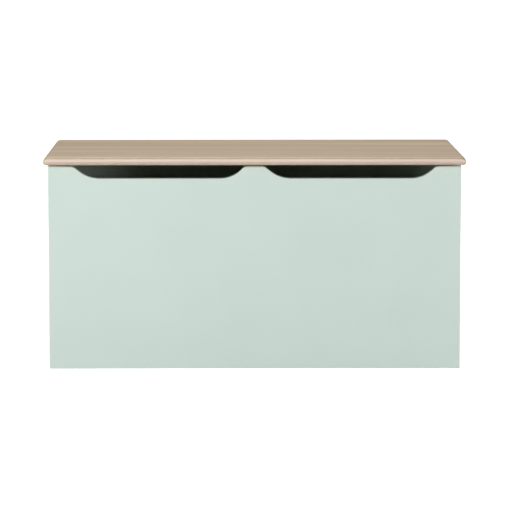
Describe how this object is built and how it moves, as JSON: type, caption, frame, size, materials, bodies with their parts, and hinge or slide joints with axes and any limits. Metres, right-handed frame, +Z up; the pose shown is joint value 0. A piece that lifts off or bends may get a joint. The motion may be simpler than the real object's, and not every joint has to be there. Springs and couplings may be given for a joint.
{
  "type": "wooden toy box",
  "caption": "Painted wooden toy box with two finger scoops in its front board and a wood-grain lid hinged at the back, held open by telescopic stays inside.",
  "frame": {"origin": "on the floor, under the middle of the whole object's box; mirror-symmetric in X apart from the scoops' ends", "axes": "+Z up, +X to the right of a person who faces the front, +Y from the front towards the hinges"},
  "size_m": [0.818, 0.4354, 0.4135],
  "materials": {
    "mint_paint": "satin lacquered board",
    "oak_laminate": "matt wood-grain foil",
    "pine": "planed, unfinished",
    "beech": "turned, unfinished",
    "zinc_plated_steel": "bright zinc plate",
    "steel": "zinc-plated screws",
    "cast_zinc": "die-cast",
    "black_enamel": "satin enamel",
    "chrome": "polished",
    "black_plastic": "moulded",
    "rubber": "clear soft pads"
  },
  "bodies": {
    "box": {"front_panel": "mint_paint", "back_panel": "mint_paint", "left_side_panel": "mint_paint", "right_side_panel": "mint_paint", "bottom_panel": "mint_paint", "front_batten": "pine", "back_batten": "pine", "left_batten": "pine", "right_batten": "pine", "left_hinge_body_leaf": "zinc_plated_steel", "left_hinge_pin": "zinc_plated_steel", "middle_hinge_body_leaf": "zinc_plated_steel", "middle_hinge_pin": "zinc_plated_steel", "right_hinge_body_leaf": "zinc_plated_steel", "right_hinge_pin": "zinc_plated_steel", "left_side_bracket": "zinc_plated_steel", "right_side_bracket": "zinc_plated_steel", "left_side_bracket_stud": "zinc_plated_steel", "right_side_bracket_stud": "zinc_plated_steel", "left_side_bracket_clip": "zinc_plated_steel", "right_side_bracket_clip": "zinc_plated_steel", "cam_locks": "cast_zinc", "cam_bolts": "steel", "hinge_body_screws": "steel", "side_bracket_screws": "steel", "batten_screws": "steel", "bottom_screws": "steel", "dowels": "beech", "lid_bumpers": "rubber"},
    "lid": {"lid_panel": "oak_laminate", "left_hinge_lid_leaf": "zinc_plated_steel", "middle_hinge_lid_leaf": "zinc_plated_steel", "right_hinge_lid_leaf": "zinc_plated_steel", "left_lid_bracket": "zinc_plated_steel", "right_lid_bracket": "zinc_plated_steel", "left_lid_bracket_stud": "zinc_plated_steel", "right_lid_bracket_stud": "zinc_plated_steel", "left_lid_bracket_clip": "zinc_plated_steel", "right_lid_bracket_clip": "zinc_plated_steel", "hinge_lid_screws": "steel", "lid_bracket_screws": "steel"},
    "left_stay_cylinder": {"left_stay_lower_eye": "black_plastic", "left_stay_tube": "black_enamel", "left_stay_end_plug": "black_plastic", "left_stay_rod_guide": "black_plastic"},
    "left_stay_plunger": {"left_stay_upper_eye": "black_plastic", "left_stay_rod": "chrome", "left_stay_piston": "black_plastic"},
    "right_stay_cylinder": {"right_stay_lower_eye": "black_plastic", "right_stay_tube": "black_enamel", "right_stay_end_plug": "black_plastic", "right_stay_rod_guide": "black_plastic"},
    "right_stay_plunger": {"right_stay_upper_eye": "black_plastic", "right_stay_rod": "chrome", "right_stay_piston": "black_plastic"}
  },
  "joints": [
    {"name": "lid_hinge", "type": "hinge", "parent": "box", "child": "lid", "pos_m": [0, 0.21525, 0.39725], "axis": [-1, 0, 0], "range_deg": [0, 85]},
    {"name": "left_stay_lower_pivot", "type": "hinge", "parent": "box", "child": "left_stay_cylinder", "pos_m": [-0.374, 0.18139, 0.20521], "axis": [-1, 0, 0], "range_deg": [0, 42.5]},
    {"name": "left_stay_upper_pivot", "type": "hinge", "parent": "lid", "child": "left_stay_plunger", "pos_m": [-0.374, 0.02067, 0.3845], "axis": [-1, 0, 0], "range_deg": [-42.5, 0]},
    {"name": "right_stay_lower_pivot", "type": "hinge", "parent": "box", "child": "right_stay_cylinder", "pos_m": [0.374, 0.18139, 0.20521], "axis": [-1, 0, 0], "range_deg": [0, 42.5]},
    {"name": "right_stay_upper_pivot", "type": "hinge", "parent": "lid", "child": "right_stay_plunger", "pos_m": [0.374, 0.02067, 0.3845], "axis": [-1, 0, 0], "range_deg": [-42.5, 0]}
  ],
  "couplings": [
    {"joint": "left_stay_lower_pivot", "follows": "lid_hinge", "ratio": 0.5},
    {"joint": "left_stay_upper_pivot", "follows": "lid_hinge", "ratio": -0.5},
    {"joint": "right_stay_lower_pivot", "follows": "lid_hinge", "ratio": 0.5},
    {"joint": "right_stay_upper_pivot", "follows": "lid_hinge", "ratio": -0.5}
  ]
}
